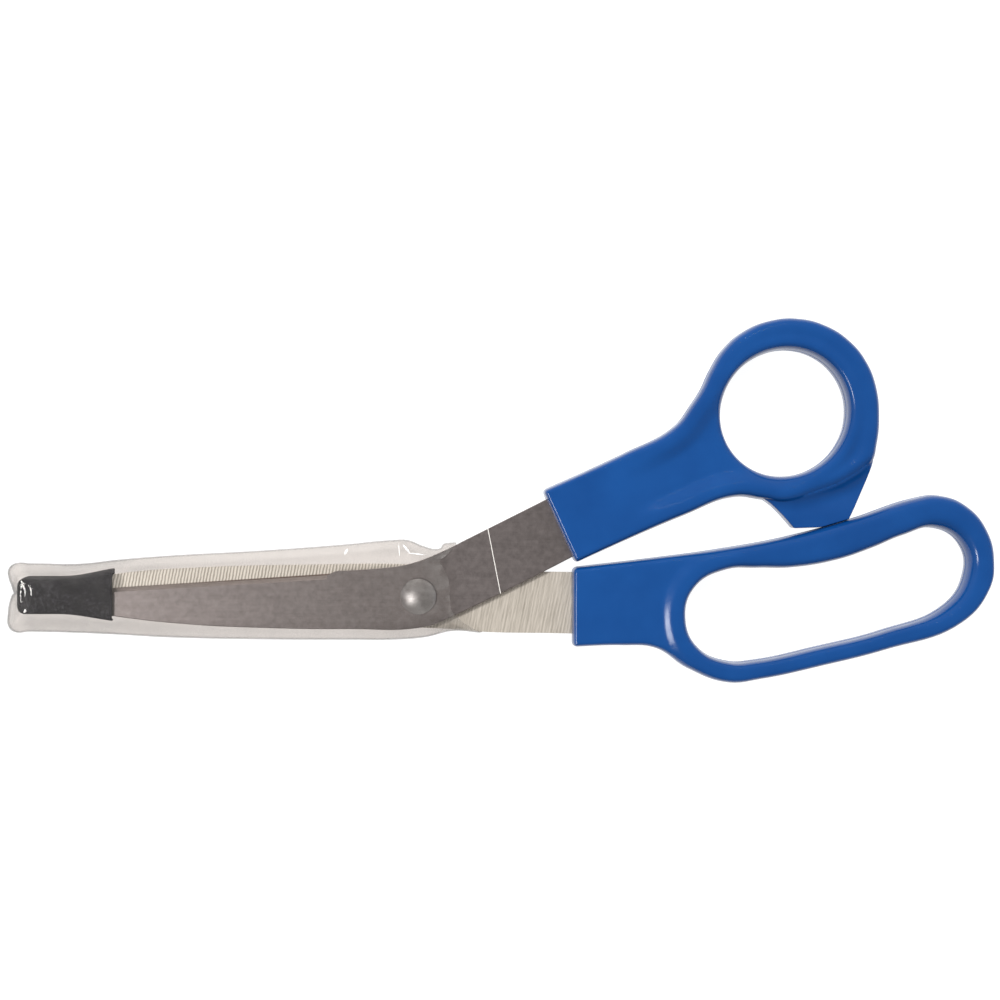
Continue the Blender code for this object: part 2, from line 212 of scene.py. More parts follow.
def smooth(value, low, high):
    """0 below low, 1 above high, and a smooth rise between."""
    share = np.clip((value - low) / (high - low), 0, 1)
    return share * share * (3 - 2 * share)


def inward(loop, hole):
    """Unit normals of a loop's places, pointing into the material."""
    ahead = np.roll(loop, -1, 0) - loop
    ahead /= np.linalg.norm(ahead, axis=1)[:, None]
    tangent = ahead + np.roll(ahead, 1, 0)
    tangent /= np.linalg.norm(tangent, axis=1)[:, None]
    x, y = loop.T
    area = (x * np.roll(y, -1) - np.roll(x, -1) * y).sum()
    side = 1 if (area > 0) != hole else -1
    return side * np.column_stack((-tangent[:, 1], tangent[:, 0]))


def as_object(name, places, faces):
    """Places in millimetres from the rivet's axis and above the floor, as a mesh in metres."""
    mesh = bpy.data.meshes.new(name)
    shift = np.array([PIVOT.x, PIVOT.y, 0])
    mesh.from_pydata((np.asarray(places) * MM + shift).tolist(), [], faces)
    tidy = bmesh.new()
    tidy.from_mesh(mesh)
    bmesh.ops.remove_doubles(tidy, verts=tidy.verts, dist=0.01 * MM)
    bmesh.ops.recalc_face_normals(tidy, faces=tidy.faces)
    tidy.to_mesh(mesh)
    tidy.free()
    made = bpy.data.objects.new(name, mesh)
    bpy.context.scene.collection.objects.link(made)
    return made


def slab(name, loops, half_height, shoulder, mid, spacing=0.9, steps=6, bulge=None):
    """A closed solid between two mirrored height fields, with a rounded edge along each loop.

    half_height, shoulder and bulge take places and give a number for each. The side walls
    stand upright up to a round shoulder; with bulge, the whole side is one superellipse of
    that squareness, with the mould's parting line standing proud at half height.
    """
    rings = []
    for index, loop in enumerate(loops):
        normal = inward(loop, index > 0)
        width = shoulder(loop)
        if bulge:
            power = 2 / bulge(loop)
            rings.append((index, loop - normal * PARTING_LINE, np.full(len(loop), PARTING_LINE)))
            rings.append((index, loop, np.full(len(loop), 0.16)))
        for i in range(1 if bulge else 0, steps + 1):
            turn = math.radians(90) * i / steps
            if bulge:
                place = loop + normal * (width * (1 - math.cos(turn) ** power))[:, None]
                rings.append((index, place, half_height(place) * math.sin(turn) ** power))
            else:
                place = loop + normal * (width * (1 - math.cos(turn)))[:, None]
                rings.append((index, place, half_height(place) - width * (1 - math.sin(turn))))
    edges_of = {index: [r for r in rings if r[0] == index] for index in range(len(loops))}
    places, faces, last = [], [], []

    def add(flat, height):
        start = len(places)
        places.extend(np.column_stack((flat, height)))
        return start

    def skin(start_a, start_b, count):
        for i in range(count):
            j = (i + 1) % count
            faces.append((start_a + i, start_a + j, start_b + j, start_b + i))

    for index, loop in enumerate(loops):
        count = len(loop)
        top = [add(place, mid + height) for _, place, height in edges_of[index]]
        bottom = [add(place, mid - height) for _, place, height in edges_of[index]]
        for row in (top, bottom):
            for first, second in zip(row, row[1:]):
                skin(first, second, count)
        skin(top[0], bottom[0], count)
        last.append((top[-1], bottom[-1], edges_of[index][-1][1]))

    borders = [flat for _, _, flat in last]
    low, high = borders[0].min(0), borders[0].max(0)
    columns = np.arange(low[0], high[0], spacing)
    rows = np.arange(low[1], high[1], spacing * 0.87)
    grid_x, grid_y = np.meshgrid(columns, rows)
    grid_x[1::2] += spacing / 2
    inner = np.column_stack((grid_x.ravel(), grid_y.ravel()))
    for index, border in enumerate(borders):
        depth = inside_distance(inner, border) * (-1 if index else 1)
        inner = inner[depth > spacing * 0.55]
    flat, edges = [], []
    for border in borders:
        start = len(flat)
        flat.extend(border)
        edges.extend((start + i, start + (i + 1) % len(border)) for i in range(len(border)))
    ring_count = len(flat)
    flat = np.array(flat + list(inner))
    found, _, triangles, origin, _, _ = delaunay_2d_cdt([Vector(p) for p in flat], edges, [], 1, 1e-5)
    found = np.array([p[:] for p in found])
    centres = np.array([found[list(t)].mean(0) for t in triangles])
    keep = np.ones(len(triangles), bool)
    for border in borders[1:]:
        keep &= inside_distance(centres, border) < 0
    height = half_height(found)
    to_top, to_bottom = {}, {}
    for i, source in enumerate(origin):
        ring = [s for s in source if s < ring_count]
        if ring:
            start = 0
            for top_start, bottom_start, border in last:
                if ring[0] < start + len(border):
                    to_top[i] = top_start + ring[0] - start
                    to_bottom[i] = bottom_start + ring[0] - start
                    break
                start += len(border)
        else:
            to_top[i] = add([found[i]], [mid + height[i]])
            to_bottom[i] = add([found[i]], [mid - height[i]])
    for triangle, good in zip(triangles, keep):
        if good:
            faces.append([to_top[i] for i in triangle])
            faces.append([to_bottom[i] for i in reversed(triangle)])
    return as_object(name, places, faces)


def lathe(name, profile, count=72):
    """A profile of (radius, height) turned about the rivet's axis."""
    places, faces = [], []
    for radius, height in profile:
        for i in range(count):
            turn = 2 * math.pi * i / count
            places.append((radius * math.cos(turn), radius * math.sin(turn), height))
    for row in range(len(profile) - 1):
        for i in range(count):
            j = (i + 1) % count
            a, b = row * count, (row + 1) * count
            faces.append((a + i, a + j, b + j, b + i))
    return as_object(name, places, faces)


def loft(name, rings):
    """A solid skinned over a row of closed rings and capped at both its ends."""
    places = [place for ring in rings for place in ring]
    count = len(rings[0])
    faces = []
    for row in range(len(rings) - 1):
        for i in range(count):
            j = (i + 1) % count
            a, b = row * count, (row + 1) * count
            faces.append((a + i, a + j, b + j, b + i))
    faces.append(tuple(range(count)))
    faces.append(tuple(len(places) - 1 - i for i in range(count)))
    return as_object(name, places, faces)


def block(name, centre, size, turn=0.0, tilt=0.0):
    """A box in millimetres, tilted about its own length and then turned about Z."""
    mesh = bpy.data.meshes.new(name)
    box = bmesh.new()
    spot = Vector(centre) * MM + Vector((PIVOT.x, PIVOT.y, 0))
    turned = Matrix.Rotation(turn, 4, "Z") @ Matrix.Rotation(tilt, 4, "X")
    stretched = Matrix.Diagonal((*(Vector(size) * MM), 1))
    bmesh.ops.create_cube(box, size=1, matrix=Matrix.Translation(spot) @ turned @ stretched)
    box.to_mesh(mesh)
    box.free()
    made = bpy.data.objects.new(name, mesh)
    bpy.context.scene.collection.objects.link(made)
    return made


def join(piece, other, operation="DIFFERENCE"):
    """Cut another solid out of a piece, or unite them, and drop the other."""
    modifier = piece.modifiers.new("join", "BOOLEAN")
    modifier.operation = operation
    modifier.solver = "EXACT"
    modifier.object = other
    settle(piece)
    bpy.data.objects.remove(other, do_unlink=True)


def settle(piece):
    """Apply a piece's modifiers."""
    bpy.context.view_layer.update()
    mesh = bpy.data.meshes.new_from_object(piece.evaluated_get(bpy.context.evaluated_depsgraph_get()))
    piece.modifiers.clear()
    old = piece.data
    piece.data = mesh
    mesh.name = piece.name
    bpy.data.meshes.remove(old)


def finish_piece(piece, body, nodes, finish, sharp=35):
    """Shade a piece, give it its material, and hang it on its body in place of its CAD nodes."""
    piece.data.materials.clear()
    piece.data.materials.append(finish)
    piece.data.polygons.foreach_set("material_index", [0] * len(piece.data.polygons))
    piece.data.shade_smooth()
    piece.data.set_sharp_from_angle(angle=math.radians(sharp))
    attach(piece, body)
    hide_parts(*nodes)
    return piece


# ---------------------------------------------------------------- materials


def linear(channel):
    value = channel / 255
    return value / 12.92 if value <= 0.04045 else ((value + 0.055) / 1.055) ** 2.4


def rgb(red, green, blue):
    return (linear(red), linear(green), linear(blue), 1.0)


class Nodes:
    """Short calls for one material's node tree, in the piece's own coordinates."""

    def __init__(self, name):
        self.material = bpy.data.materials.new(name)
        self.material.use_nodes = True
        self.tree = self.material.node_tree
        self.tree.nodes.clear()
        self.output = self.add("ShaderNodeOutputMaterial")
        self.coordinates = self.add("ShaderNodeTexCoord").outputs["Object"]

    def add(self, kind, inputs=(), **settings):
        node = self.tree.nodes.new(kind)
        for key, value in settings.items():
            setattr(node, key, value)
        for key, value in dict(inputs).items():
            if isinstance(value, bpy.types.NodeSocket):
                self.tree.links.new(value, node.inputs[key])
            else:
                node.inputs[key].default_value = value
        return node

    def placed(self, scale=(1, 1, 1), turn=0.0, shift=(0, 0, 0)):
        """The piece's coordinates, shifted, turned about Z and stretched."""
        vector_math = "ShaderNodeVectorMath"
        moved = self.add(vector_math, {0: self.coordinates, 1: shift}, operation="SUBTRACT")
        spun = self.add("ShaderNodeVectorRotate", {"Vector": moved.outputs[0], "Angle": turn})
        return self.add(vector_math, {0: spun.outputs[0], 1: scale}, operation="MULTIPLY").outputs[0]

    def beside(self, start, end):
        """How far along a line from its start, and how far to its left, in metres."""
        lean = math.atan2(end[1] - start[1], end[0] - start[0])
        spot = Vector(start) * MM + PIVOT.xy
        split = self.add("ShaderNodeSeparateXYZ", {0: self.placed(turn=-lean, shift=(*spot, 0))})
        return split.outputs["X"], split.outputs["Y"]

    def stroke(self, start, end, width):
        """1 on a short straight mark that tapers at both its ends; width in millimetres."""
        along, across = self.beside(start, end)
        half = math.dist(start, end) / 2 * MM
        middle = self.math("ABSOLUTE", self.math("SUBTRACT", along, half))
        room = self.ranged(middle, 0.4 * half, half, width * MM, 0.0)
        return self.math("GREATER_THAN", room, self.math("ABSOLUTE", across))

    def noise(self, scale, detail=3.0, roughness=0.5, vector=None, distortion=0.0):
        inputs = {"Vector": vector or self.coordinates, "Scale": scale, "Detail": detail}
        inputs |= {"Roughness": roughness, "Distortion": distortion}
        return self.add("ShaderNodeTexNoise", inputs).outputs["Fac"]

    def ranged(self, value, low, high, to_low=0.0, to_high=1.0):
        inputs = {"Value": value, "From Min": low, "From Max": high}
        inputs |= {"To Min": to_low, "To Max": to_high}
        return self.add("ShaderNodeMapRange", inputs, clamp=True).outputs["Result"]

    def math(self, operation, first, second=0.0):
        return self.add("ShaderNodeMath", {0: first, 1: second}, operation=operation).outputs[0]

    def mixed(self, factor, first, second):
        """A mix of two colours; the Mix node keeps its colour sockets apart from its others."""
        node = self.add("ShaderNodeMix", data_type="RGBA")
        colours = [socket for socket in node.inputs if socket.type == "RGBA"]
        for socket, value in zip((node.inputs[0], *colours), (factor, first, second)):
            if isinstance(value, bpy.types.NodeSocket):
                self.tree.links.new(value, socket)
            else:
                socket.default_value = value
        return next(socket for socket in node.outputs if socket.type == "RGBA")

    def bump(self, height, distance, strength):
        inputs = {"Height": height, "Distance": distance, "Strength": strength}
        return self.add("ShaderNodeBump", inputs).outputs[0]

    def principled(self, **inputs):
        named = {key.replace("_", " "): value for key, value in inputs.items()}
        return self.add("ShaderNodeBsdfPrincipled", named)

    def done(self, shader):
        self.tree.links.new(shader.outputs[0], self.output.inputs["Surface"])
        return self.material


def moulded_plastic():
    n = Nodes("blue_moulded_plastic")
    cloud = n.ranged(n.noise(60, 4), 0.3, 0.7)
    colour = n.mixed(cloud, rgb(6, 61, 122), rgb(11, 69, 133))
    rough = n.ranged(n.noise(240, 4), 0.3, 0.7, 0.14, 0.26)
    peel = n.bump(n.noise(700, 2), 0.00002, 0.5)
    return n.done(n.principled(Base_Color=colour, Roughness=rough, Normal=peel, IOR=1.5))


def satin_steel():
    n = Nodes("satin_steel")
    streak = n.noise(1, 4, 0.6, n.placed((60, 2600, 60)))
    patch = n.noise(700, 5, 0.7)
    both = n.math("ADD", n.math("MULTIPLY", streak, 0.25), n.math("MULTIPLY", patch, 0.75))
    steel = n.mixed(n.ranged(both, 0.35, 0.65), rgb(152, 143, 141), rgb(174, 164, 162))
    line = n.ranged(n.math("ABSOLUTE", n.beside(*SCRIBED_LINE)[1]), 0.00014, 0.00008)
    colour = n.mixed(line, steel, rgb(250, 246, 240))
    rough = n.ranged(both, 0.3, 0.7, 0.36, 0.46)
    brushed = n.bump(streak, 0.00001, 0.5)
    metal = n.ranged(line, 0.0, 1.0, 1.0, 0.3)
    return n.done(n.principled(Base_Color=colour, Metallic=metal, Roughness=rough, Normal=brushed))


def ground_steel():
    n = Nodes("cross_ground_steel")
    lean = 0.19
    wave = {"Vector": n.placed(turn=lean), "Scale": 400.0, "Distortion": 1.6, "Detail": 2.0}
    wave["Detail Scale"] = 2.0
    line = n.add("ShaderNodeTexWave", wave, bands_direction="X").outputs["Fac"]
    scratch = n.noise(1, 4, 0.7, n.placed((2600, 130, 130), lean))
    tang = n.ranged(n.add("ShaderNodeSeparateXYZ", {0: n.coordinates}).outputs["X"], -0.025, -0.012)
    share = n.ranged(tang, 0.0, 1.0, 0.5, 0.12)
    plain = n.math("SUBTRACT", 1.0, share)
    both = n.math("ADD", n.math("MULTIPLY", line, share), n.math("MULTIPLY", scratch, plain))
    tone = n.ranged(both, 0.25, 0.65)
    near_edge = n.mixed(tone, rgb(158, 150, 138), rgb(226, 218, 207))
    near_handle = n.mixed(tone, rgb(154, 146, 134), rgb(208, 199, 187))
    steel = n.mixed(tang, near_edge, near_handle)
    # A thin dark brown line on the back blade along the front blade's cutting edge: painted shadow of
    # the gap between the blades.
    above_edge = n.beside(*EDGE_LINE)[1]
    gap_shadow_start = n.ranged(above_edge, -0.0002, 0.0001)
    gap_shadow_end = n.ranged(above_edge, 0.0005, 0.0002)
    gap_shadow = n.math("MULTIPLY", gap_shadow_start, gap_shadow_end)
    colour = n.mixed(gap_shadow, steel, rgb(96, 74, 64))
    ground = n.bump(both, 0.00003, 0.5)
    return n.done(n.principled(Base_Color=colour, Metallic=0.35, Roughness=0.42, Normal=ground))


def polished_steel():
    n = Nodes("polished_rivet_steel")
    smudge = n.noise(500, 4, 0.6)
    colour = n.mixed(n.ranged(smudge, 0.3, 0.7), rgb(190, 184, 182), rgb(222, 218, 216))
    rough = n.ranged(smudge, 0.3, 0.7, 0.38, 0.54)
    dents = n.bump(n.noise(900, 2), 0.00003, 0.4)
    return n.done(n.principled(Base_Color=colour, Metallic=1.0, Roughness=rough, Normal=dents))


def rubber():
    n = Nodes("black_rubber")
    scuff = n.noise(1500, 6, 0.75)
    patch = n.noise(150, 3)
    worn = n.math("MULTIPLY", n.ranged(scuff, 0.48, 0.8), n.ranged(patch, 0.38, 0.6))
    colour = n.mixed(worn, rgb(21, 19, 23), rgb(80, 78, 84))
    rough = n.ranged(scuff, 0.3, 0.7, 0.5, 0.75)
    grain = n.bump(n.noise(2500, 3), 0.00003, 0.5)
    return n.done(n.principled(
        Base_Color=colour, Roughness=rough, Normal=grain, Specular_IOR_Level=0.2
    ))


def clear_vinyl():
    n = Nodes("clear_vinyl_film")
    ripple = n.bump(n.noise(90, 3, 0.5, None, 0.6), 0.0001, 0.4)
    facing = n.add("ShaderNodeLayerWeight", {"Blend": 0.5, "Normal": ripple}).outputs["Facing"]
    rim = n.math("MULTIPLY", n.math("POWER", facing, 4.0), 0.3)
    haze = n.ranged(n.noise(260, 3), 0.35, 0.7, 0.035, 0.06)
    split = n.add("ShaderNodeSeparateXYZ", {0: n.coordinates}).outputs
    behind = n.ranged(split["Z"], (MID_Z + 0.3) * MM, (MID_Z - 0.3) * MM)
    mouth = n.ranged(split["X"], PIVOT.x + 1 * MM, PIVOT.x + 6 * MM)
    cloudy = n.math("MULTIPLY", mouth, n.ranged(n.noise(170, 3, 0.5, None, 1.0), 0.47, 0.56, 0.0, 0.07))
    share = n.math("ADD", n.math("ADD", rim, haze), cloudy)
    # The lower layer is tinted darker than the upper one: painted shade on the floor seen through the
    # sleeve.
    face_on = n.mixed(behind, (0.985, 0.98, 0.975, 1), (0.87, 0.845, 0.828, 1))
    tint = n.mixed(n.math("POWER", facing, 2.0), face_on, (0.46, 0.46, 0.46, 1))
    clear = n.add("ShaderNodeBsdfTransparent", {"Color": tint})
    gloss = n.principled(Base_Color=rgb(225, 223, 220), Roughness=0.08, Normal=ripple, Metallic=0.7)
    film = n.add("ShaderNodeMixShader", {0: share, 1: clear.outputs[0], 2: gloss.outputs[0]})
    # Painted highlights: white strokes along the creases, on the upper layer of film only, for the
    # glint on the folds.
    crease_glint = 0.0
    for crease_line in CREASE_GLINTS:
        crease_glint = n.math("MAXIMUM", n.stroke(*crease_line), crease_glint)
    in_front = n.math("MULTIPLY", n.ranged(behind, 1.0, 0.0), 0.75)
    white = n.principled(Base_Color=rgb(250, 249, 247), Roughness=0.5)
    painted_glint = n.math("MULTIPLY", crease_glint, in_front)
    return n.done(n.add("ShaderNodeMixShader", {0: painted_glint, 1: film.outputs[0], 2: white.outputs[0]}))


def paper():
    n = Nodes("white_floor")
    tone = n.mixed(n.ranged(n.noise(3, 2), 0.3, 0.7), (0.22, 0.22, 0.22, 1), (0.24, 0.24, 0.24, 1))
    return n.done(n.principled(
        Base_Color=tone, Roughness=0.9, Emission_Color=(1, 1, 1, 1), Emission_Strength=0.96
    ))


# ---------------------------------------------------------------- blades and rivet


def constant(value):
    return lambda places: np.full(len(places), float(value))


def ground_face(piece, start, end, edge_z, side, slope=52):
    """Cut the sloping ground face of a straight cutting edge; side is +1 above, -1 below."""
    run = Vector(end) - Vector(start)
    angle = math.radians(slope)
    turn = math.atan2(run.y, run.x)
    width, height = 10, 4
    centre = (Vector(start) + Vector(end)) / 2
    turned = Matrix.Rotation(turn, 3, "Z") @ Matrix.Rotation(-angle, 3, "X")
    spot = Vector((*centre, edge_z)) + turned @ Vector((0, 0, side * height / 2))
    join(piece, block("ground_face", spot, (run.length, width, height), turn, -angle))


def make_front_blade(finish):
    loops = [drawn(FRONT_BLADE), circle((0, 0), RIVET_HOLE_RADIUS, 48)]
    blade = slab(
        "FrontBlade", loops, constant(HALF_BLADE), constant(0.2), FRONT_BLADE_MID, spacing=3.0, steps=2,
    )
    ground_face(blade, (-99, 0.65), (-22.8, 5.2), FRONT_BLADE_MID - 0.65, 1, 60)
    run = Vector(SCRIBED_LINE[1]) - Vector(SCRIBED_LINE[0])
    centre = (Vector(SCRIBED_LINE[1]) + Vector(SCRIBED_LINE[0])) / 2
    join(blade, block(
        "scribed_line", (centre.x, centre.y, FRONT_BLADE_MID + HALF_BLADE), (run.length + 3, 0.3, 0.2),
        math.atan2(run.y, run.x),
    ))
    finish_piece(blade, "thumb_side", ["front_blade"], finish, 20)


def make_back_blade(finish):
    loops = [drawn(BACK_BLADE), circle((0, 0), RIVET_HOLE_RADIUS, 48)]
    blade = slab(
        "BackBlade", loops, constant(HALF_BLADE), constant(0.12), BACK_BLADE_MID, spacing=3.0, steps=2,
    )
    ground_face(blade, (-99, 0.6), (-22.8, -5.4), BACK_BLADE_MID + 0.65, -1)
    finish_piece(blade, "finger_side", ["back_blade"], finish, 20)


def make_rivet(finish):
    """A domed head over the front blade, the shank, and a dished tail behind the washer."""
    seat = FRONT_BLADE_MID + HALF_BLADE + GAP
    tail_top = BACK_BLADE_MID - HALF_BLADE - GAP - WASHER_THICKNESS - GAP
    curve = (HEAD_RADIUS ** 2 + HEAD_RISE ** 2) / (2 * HEAD_RISE)
    rim = math.asin(HEAD_RADIUS / curve)
    profile = []
    for i in range(15):
        lean = rim * i / 14
        profile.append((curve * math.sin(lean), seat + 2.0 - curve * (1 - math.cos(lean))))
    profile += [(4.47, seat + 0.2), (4.47, seat + 0.08), (4.35, seat)]
    profile += [(SHANK_RADIUS, seat), (SHANK_RADIUS, tail_top)]
    for radius, drop in (
        (3.2, 0.0), (3.3, 0.1), (3.3, 0.4), (3.1, 0.62),
        (2.6, 0.76), (1.4, 0.8), (0.9, 0.66), (0.0, 0.6),
    ):
        profile.append((radius, tail_top - drop))
    rivet = lathe("PivotRivet", profile)
    finish_piece(rivet, "finger_side", ["pivot_rivet"], finish, 40)


def make_washer(finish):
    loops = [circle((0, 0), 4.4, 72), circle((0, 0), 2.8, 48)]
    half = WASHER_THICKNESS / 2
    mid = BACK_BLADE_MID - HALF_BLADE - GAP - half
    washer = slab("RivetWasher", loops, constant(half), constant(0.15), mid, spacing=2.0, steps=3)
    finish_piece(washer, "finger_side", ["rivet_washer"], finish, 40)


# ---------------------------------------------------------------- handles


def tang_slot(piece, outline, mid):
    """Cut the close-fitting slot that the tang is moulded into."""
    loop = drawn(outline)
    loop = loop - inward(loop, False) * 0.06
    join(piece, slab("slot", [loop], constant(1.06), constant(0.05), mid, spacing=4.0, steps=1))


def make_finger_handle(finish):
    outer, hole = drawn(FINGER_HANDLE), drawn(FINGER_LOOP)

    def from_hole(places):
        return -inside_distance(places, hole)

    def half_height(places):
        """A flat slab at the mouth, lower than the bar that runs round the finger loop."""
        x = places[:, 0]
        near_hole = 1 - smooth(from_hole(places), 3.2, 6.4)
        upper = smooth(x, 62, 80)
        bar = 1 - (1 - near_hole) * (1 - upper)
        return 4.4 + 0.95 * bar

    def shoulder(places):
        """Broad along the upper bar, narrow at the mouth and along the slender lower bar."""
        x, y = places.T
        above = smooth(y + 5 - 0.2 * (x - 75), -4, 4)
        bar = 0.7 * smooth(x, 39, 60) + 0.9 * above * smooth(x, 60, 80)
        return 1.2 + bar + 1.3 * inner_bend(places)

    def bulge(places):
        return 2.7 + 0.6 * smooth(places[:, 0], 40, 50) - 0.7 * inner_bend(places)

    def inner_bend(places):
        """1 at the far end of the finger loop's opening, where its wall is broadly rounded."""
        return smooth(places[:, 0], 122, 132) * (1 - smooth(from_hole(places), 0.3, 1.0))

    handle = slab(
        "FingerHandle", [outer, hole], half_height, shoulder, MID_Z, spacing=0.7, steps=9, bulge=bulge,
    )
    tang_slot(handle, BACK_BLADE, BACK_BLADE_MID)
    finish_piece(handle, "finger_side", ["finger_handle"], finish)


def make_thumb_handle(finish):
    arc = []
    for i in range(9):
        turn = math.radians(12 + 145 * i / 8)
        reach = THUMB_RING_RADIUS * Vector((math.cos(turn), math.sin(turn)))
        arc.append(tuple(Vector(THUMB_RING_CENTRE) + reach))
    outer = drawn(THUMB_LOWER_SIDE + arc + THUMB_UPPER_SIDE)
    hole = circle(THUMB_HOLE_CENTRE, THUMB_HOLE_RADIUS, 120, oval=0.3, lean=math.radians(48))

    def from_hole(places):
        return -inside_distance(places, hole)

    def half_height(places):
        """Beads run up both sides of the body into the ring; the web between them is sunk."""
        x = places[:, 0]
        bead = 1 - smooth(inside_distance(places, outer), 2.8, 7.0)
        turn = np.arctan2(places[:, 1] - THUMB_HOLE_CENTRE[1], x - THUMB_HOLE_CENTRE[0])
        web_side = smooth(np.cos(turn - math.radians(218)), 0.2, 0.75)
        rim = (1 - smooth(from_hole(places), 2.0, 6.0)) * (1 - web_side)
        raised = 1 - (1 - bead) * (1 - rim)
        sunk = smooth(x, 50, 66) * (1 - raised)
        return 5.3 - 1.4 * sunk

    def shoulder(places):
        x, y = places.T
        return 1.2 + 1.0 * smooth(x, 38, 62) + 0.4 * smooth(x, 66, 80) + 1.4 * over_lug(x, y)

    def bulge(places):
        x, y = places.T
        return 2.7 + 0.5 * smooth(x, 42, 52) - 1.2 * over_lug(x, y)

    def over_lug(x, y):
        """1 where the ring's outer side rolls down onto the lug."""
        away = from_hole(np.column_stack((x, y)))
        return smooth(x, 88, 100) * (1 - smooth(y, 31, 36)) * smooth(away, 0.5, 2.0)

    handle = slab(
        "ThumbHandle", [outer, hole], half_height, shoulder, MID_Z, spacing=0.7, steps=9, bulge=bulge,
    )

    def lug_height(places):
        """Lower than the ring, with a hollow fillet up to it."""
        beyond = 1.4 - inside_distance(places, outer)
        fillet = np.clip(1 - beyond / 4.2, 0, 1) ** 2
        return 1.9 + 1.0 * smooth(-places[:, 1], -27, -20) + 2.4 * fillet

    lug = slab("lug", [drawn(STOP_LUG)], lug_height, constant(0.25), MID_Z, spacing=0.6, steps=3)
    join(handle, lug, "UNION")
    tang_slot(handle, FRONT_BLADE, FRONT_BLADE_MID)
    finish_piece(handle, "thumb_side", ["thumb_handle"], finish)


# ---------------------------------------------------------------- covers


def guard_ring(x, y_low, y_high, half_height, inset, back_reach=0.0, count=56, squareness=7):
    """One section of the guard; inset slopes the upper side wall back from the front face."""
    y_mid, y_half = (y_low + y_high) / 2, (y_high - y_low) / 2
    ring = []
    for i in range(count):
        turn = 2 * math.pi * (i + 0.5) / count
        side = math.copysign(abs(math.cos(turn)) ** (2 / squareness), math.cos(turn))
        rise = math.copysign(abs(math.sin(turn)) ** (2 / squareness), math.sin(turn))
        slope = inset * max(0.0, side) * max(0.0, rise)
        back = max(0.0, -rise)
        trim = 0.5 * back + 0.6 * back * (1 - side)
        ring.append((x - back_reach * trim, y_mid + y_half * side - slope, MID_Z + half_height * rise))
    return ring


def make_guard(finish):
    rings = [
        guard_ring(-99.8, -2.4, 2.9, 2.4, 0.2), guard_ring(-99.7, -3.1, 3.6, 3.1, 0.3),
        guard_ring(-99.3, -3.8, 4.3, 3.7, 0.5), guard_ring(-98.7, -4.2, 4.75, 4.05, 0.6),
        guard_ring(-98.0, -4.4, 4.95, 4.2, 0.7),
    ]
    for i in range(13):
        along = i / 12
        flare = smooth(along, 0.35, 1.25) / smooth(1.0, 0.35, 1.25)
        rings.append(guard_ring(
            -96.5 + 20.0 * along, -4.4 - 1.7 * flare, 4.95 + 1.95 * flare,
            4.2 - 0.8 * along ** 2, 0.7 + 1.1 * flare, along ** 3,
        ))
    rings.append(guard_ring(-76.25, -6.02, 6.82, 3.3, 1.8, 1.0))
    rings.append(guard_ring(-76.15, -5.8, 6.6, 3.1, 1.7, 1.0))
    guard = loft("TipGuard", rings)
    pocket = [
        guard_ring(-97.2, -1.6, 2.3, 2.5, 0.0, squareness=14),
        guard_ring(-86.0, -3.5, 4.0, 2.5, 0.0, squareness=14),
        guard_ring(-74.0, -5.3, 6.1, 2.5, 0.0, squareness=14),
    ]
    join(guard, loft("pocket", pocket))
    finish_piece(guard, "guard", ["tip_guard"], finish, 40)


def crease(places, start, end, width):
    """1 on a line between two places, falling off to either side."""
    run = np.array(end) - np.array(start)
    away = places - np.array(start)
    along = np.clip((away @ run) / (run @ run), 0, 1)
    gap = np.linalg.norm(away - along[:, None] * run, axis=1)
    return np.exp(-((gap / width) ** 2))


def make_sleeve(finish):
    outline = drawn(SLEEVE)

    def half_height(places):
        """Flat film held up by the guard, the blades and the rivet, lower towards the folds."""
        x, y = places.T
        depth = np.maximum(inside_distance(places, outline), 0)
        guard = 1 - smooth(x, -68, -54)
        rivet = smooth(x, -14, -4)
        full = 3.9 + 1.1 * guard + 1.0 * rivet
        swell = 0.05 * np.sin(x * 0.21 + y * 0.3) * np.sin(y * 0.35 + x * 0.07)
        folds = 0.30 * crease(places, (-4.3, 12.9), (-2.2, 10.7), 0.7)
        folds += 0.30 * crease(places, (-2.2, 10.7), (3.2, 10.7), 0.7)
        folds += 0.30 * crease(places, (-18.6, 11.9), (-17.6, 10.3), 0.9)
        folds += 0.25 * crease(places, (-72.0, -9.2), (-60.0, -9.6), 0.8)
        film = 0.75 + (full - 0.75) * smooth(depth, -1.5, 5.5)
        film += (swell + folds) * smooth(depth, 0.5, 3.0)
        return np.maximum(film, over_guard(x, y))

    def over_guard(x, y):
        """The film is drawn tight over the guard and falls away steeply round it."""
        side = 4.5 + 2.0 * smooth(x, -92, -76)
        beyond_x = np.maximum(np.maximum(-98.9 - x, 0.4 * (x + 76.0)), 0)
        beyond_y = np.maximum(np.abs(y - 0.3) - side, 0)
        return 4.5 - 1.1 * np.hypot(beyond_x, beyond_y)

    sleeve = slab("BladeSleeve", [outline], half_height, constant(0.6), MID_Z, spacing=0.75, steps=4)
    open_mouth(sleeve)
    wall = sleeve.modifiers.new("wall", "SOLIDIFY")
    wall.thickness = FILM_WALL * MM
    wall.offset = -1
    settle(sleeve)
    finish_piece(sleeve, "sleeve", ["blade_sleeve"], finish, 60)
    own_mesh(sleeve)


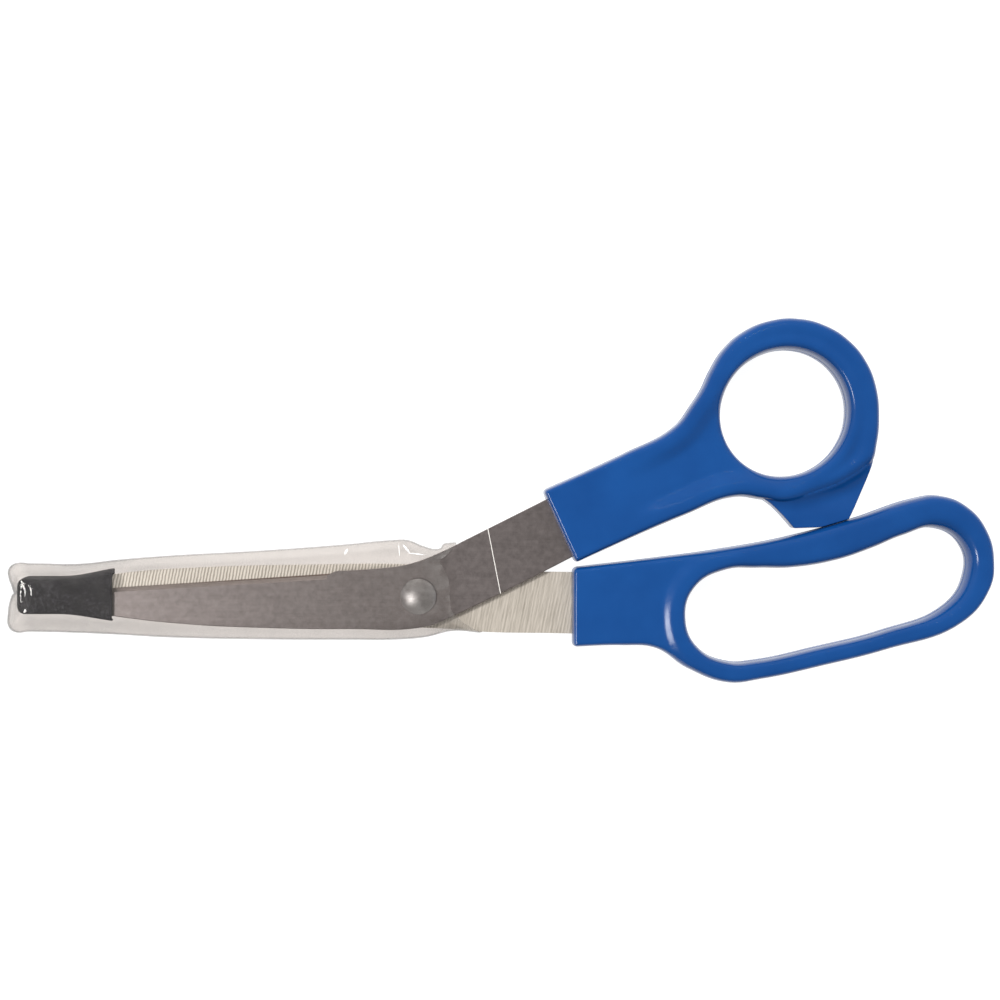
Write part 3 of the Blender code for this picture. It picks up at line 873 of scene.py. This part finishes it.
def open_mouth(sleeve):
    """Trim the film to its wavy mouth: short over the front tang, longer behind the back one."""
    heights = [-12.0, -9.3, -6.5, -3.2, 4.4, 9.0, 12.0, 18.0]
    front = [15.6, 15.4, 11.0, 8.2, 7.7, 5.4, 8.6, 9.4]
    back = [16.0, 15.9, 15.5, 14.5, 13.0, 11.0, 9.4, 9.4]
    mesh = bmesh.new()
    mesh.from_mesh(sleeve.data)

    def limit(place):
        y = (place.y - PIVOT.y) / MM
        line = front if place.z > MID_Z * MM else back
        return PIVOT.x + np.interp(y, heights, line) * MM

    gone = [f for f in mesh.faces if (c := f.calc_center_median()).x > limit(c)]
    bmesh.ops.delete(mesh, geom=gone, context="FACES")
    for vertex in mesh.verts:
        if any(edge.is_boundary for edge in vertex.link_edges):
            vertex.co.x = limit(vertex.co)
    mesh.to_mesh(sleeve.data)
    mesh.free()


# ---------------------------------------------------------------- studio


def make_floor():
    mesh = bpy.data.meshes.new("Floor")
    mesh.from_pydata([(-9, -9, 0), (9, -9, 0), (9, 9, 0), (-9, 9, 0)], [], [(0, 1, 2, 3)])
    floor = bpy.data.objects.new("Floor", mesh)
    floor.location.z = -0.0001
    mesh.materials.append(paper())
    bpy.context.scene.collection.objects.link(floor)


def make_camera():
    """Straight down, 250 mm across at mid-thickness."""
    data = bpy.data.cameras.new("Camera")
    data.lens = 62
    data.sensor_width = 36
    distance = 0.250 / 36 * data.lens
    camera = bpy.data.objects.new("Camera", data)
    camera.location = (0.0001, 0.0001, distance + 0.006)
    bpy.context.scene.collection.objects.link(camera)
    bpy.context.scene.camera = camera


def softbox(name, place, size, power, mirrored=True):
    data = bpy.data.lights.new(name, "AREA")
    data.shape = "RECTANGLE"
    data.size, data.size_y = size
    data.energy = power
    light = bpy.data.objects.new(name, data)
    light.location = place
    light.visible_glossy = mirrored
    light.rotation_euler = (-Vector(place)).to_track_quat("-Z", "Y").to_euler()
    bpy.context.scene.collection.objects.link(light)


def make_light():
    world = bpy.data.worlds.new("studio")
    world.use_nodes = True
    tree = world.node_tree
    background = tree.nodes["Background"]
    background.inputs["Color"].default_value = (1.0, 0.985, 0.97, 1)

    def math_node(operation, *values):
        node = tree.nodes.new("ShaderNodeMath")
        node.operation = operation
        for socket, value in zip(node.inputs, values):
            if isinstance(value, bpy.types.NodeSocket):
                tree.links.new(value, socket)
            else:
                socket.default_value = value
        return node.outputs[0]

    split = tree.nodes.new("ShaderNodeSeparateXYZ")
    tree.links.new(tree.nodes.new("ShaderNodeTexCoord").outputs["Generated"], split.inputs[0])
    low = math_node("SUBTRACT", 1.0, math_node("MAXIMUM", split.outputs["Z"], 0.0))
    band = math_node("MULTIPLY_ADD", low, 0.17, 0.27)
    side = math_node("MULTIPLY_ADD", split.outputs["Y"], 0.45, 1.0)
    tree.links.new(math_node("MULTIPLY", band, side), background.inputs["Strength"])
    bpy.context.scene.world = world
    softbox("SoftboxFar", (0.05, 0.42, 0.85), (0.26, 0.12), 9.4, mirrored=False)
    softbox("SoftboxLeft", (-0.46, -0.17, 0.62), (0.3, 0.16), 2.2)
    bpy.context.scene.view_settings.view_transform = "Standard"


make_camera()
make_floor()
make_light()

SATIN = satin_steel()
BLUE = moulded_plastic()
RIVET = polished_steel()
make_front_blade(SATIN)
make_back_blade(ground_steel())
make_rivet(RIVET)
make_washer(RIVET)
make_finger_handle(BLUE)
make_thumb_handle(BLUE)
make_guard(rubber())
make_sleeve(clear_vinyl())
